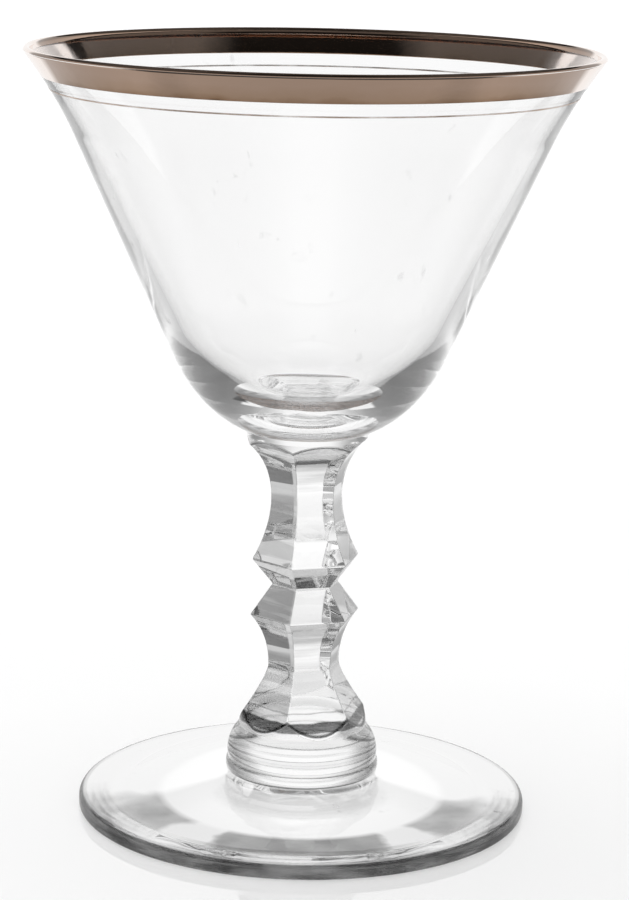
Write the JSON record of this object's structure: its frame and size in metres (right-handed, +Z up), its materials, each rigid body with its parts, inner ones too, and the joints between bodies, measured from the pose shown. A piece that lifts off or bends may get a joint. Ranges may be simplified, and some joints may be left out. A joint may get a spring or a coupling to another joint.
{
  "type": "liqueur glass",
  "caption": "Short-stemmed liqueur glass with a flared conical bowl, a metal-banded everted rim, a faceted stem with knops, a ringed glass collar and a round foot.",
  "frame": {"origin": "middle of the plane that the glass stands on", "axes": "+Z up along the glass's own axis; -Y is the side that the picture shows"},
  "size_m": [0.0824, 0.0824, 0.112],
  "materials": {
    "clear_glass": "fire-polished, colourless, faint scuffs",
    "rim_metal": "bright fired lustre, warm brown-grey"
  },
  "bodies": {
    "root": {"foot": "clear_glass", "lower_ring": "clear_glass", "upper_ring": "clear_glass", "stem": "clear_glass", "bowl_seal": "clear_glass", "bowl": "clear_glass", "rim_band": "rim_metal", "rim_line": "rim_metal"}
  },
  "joints": []
}
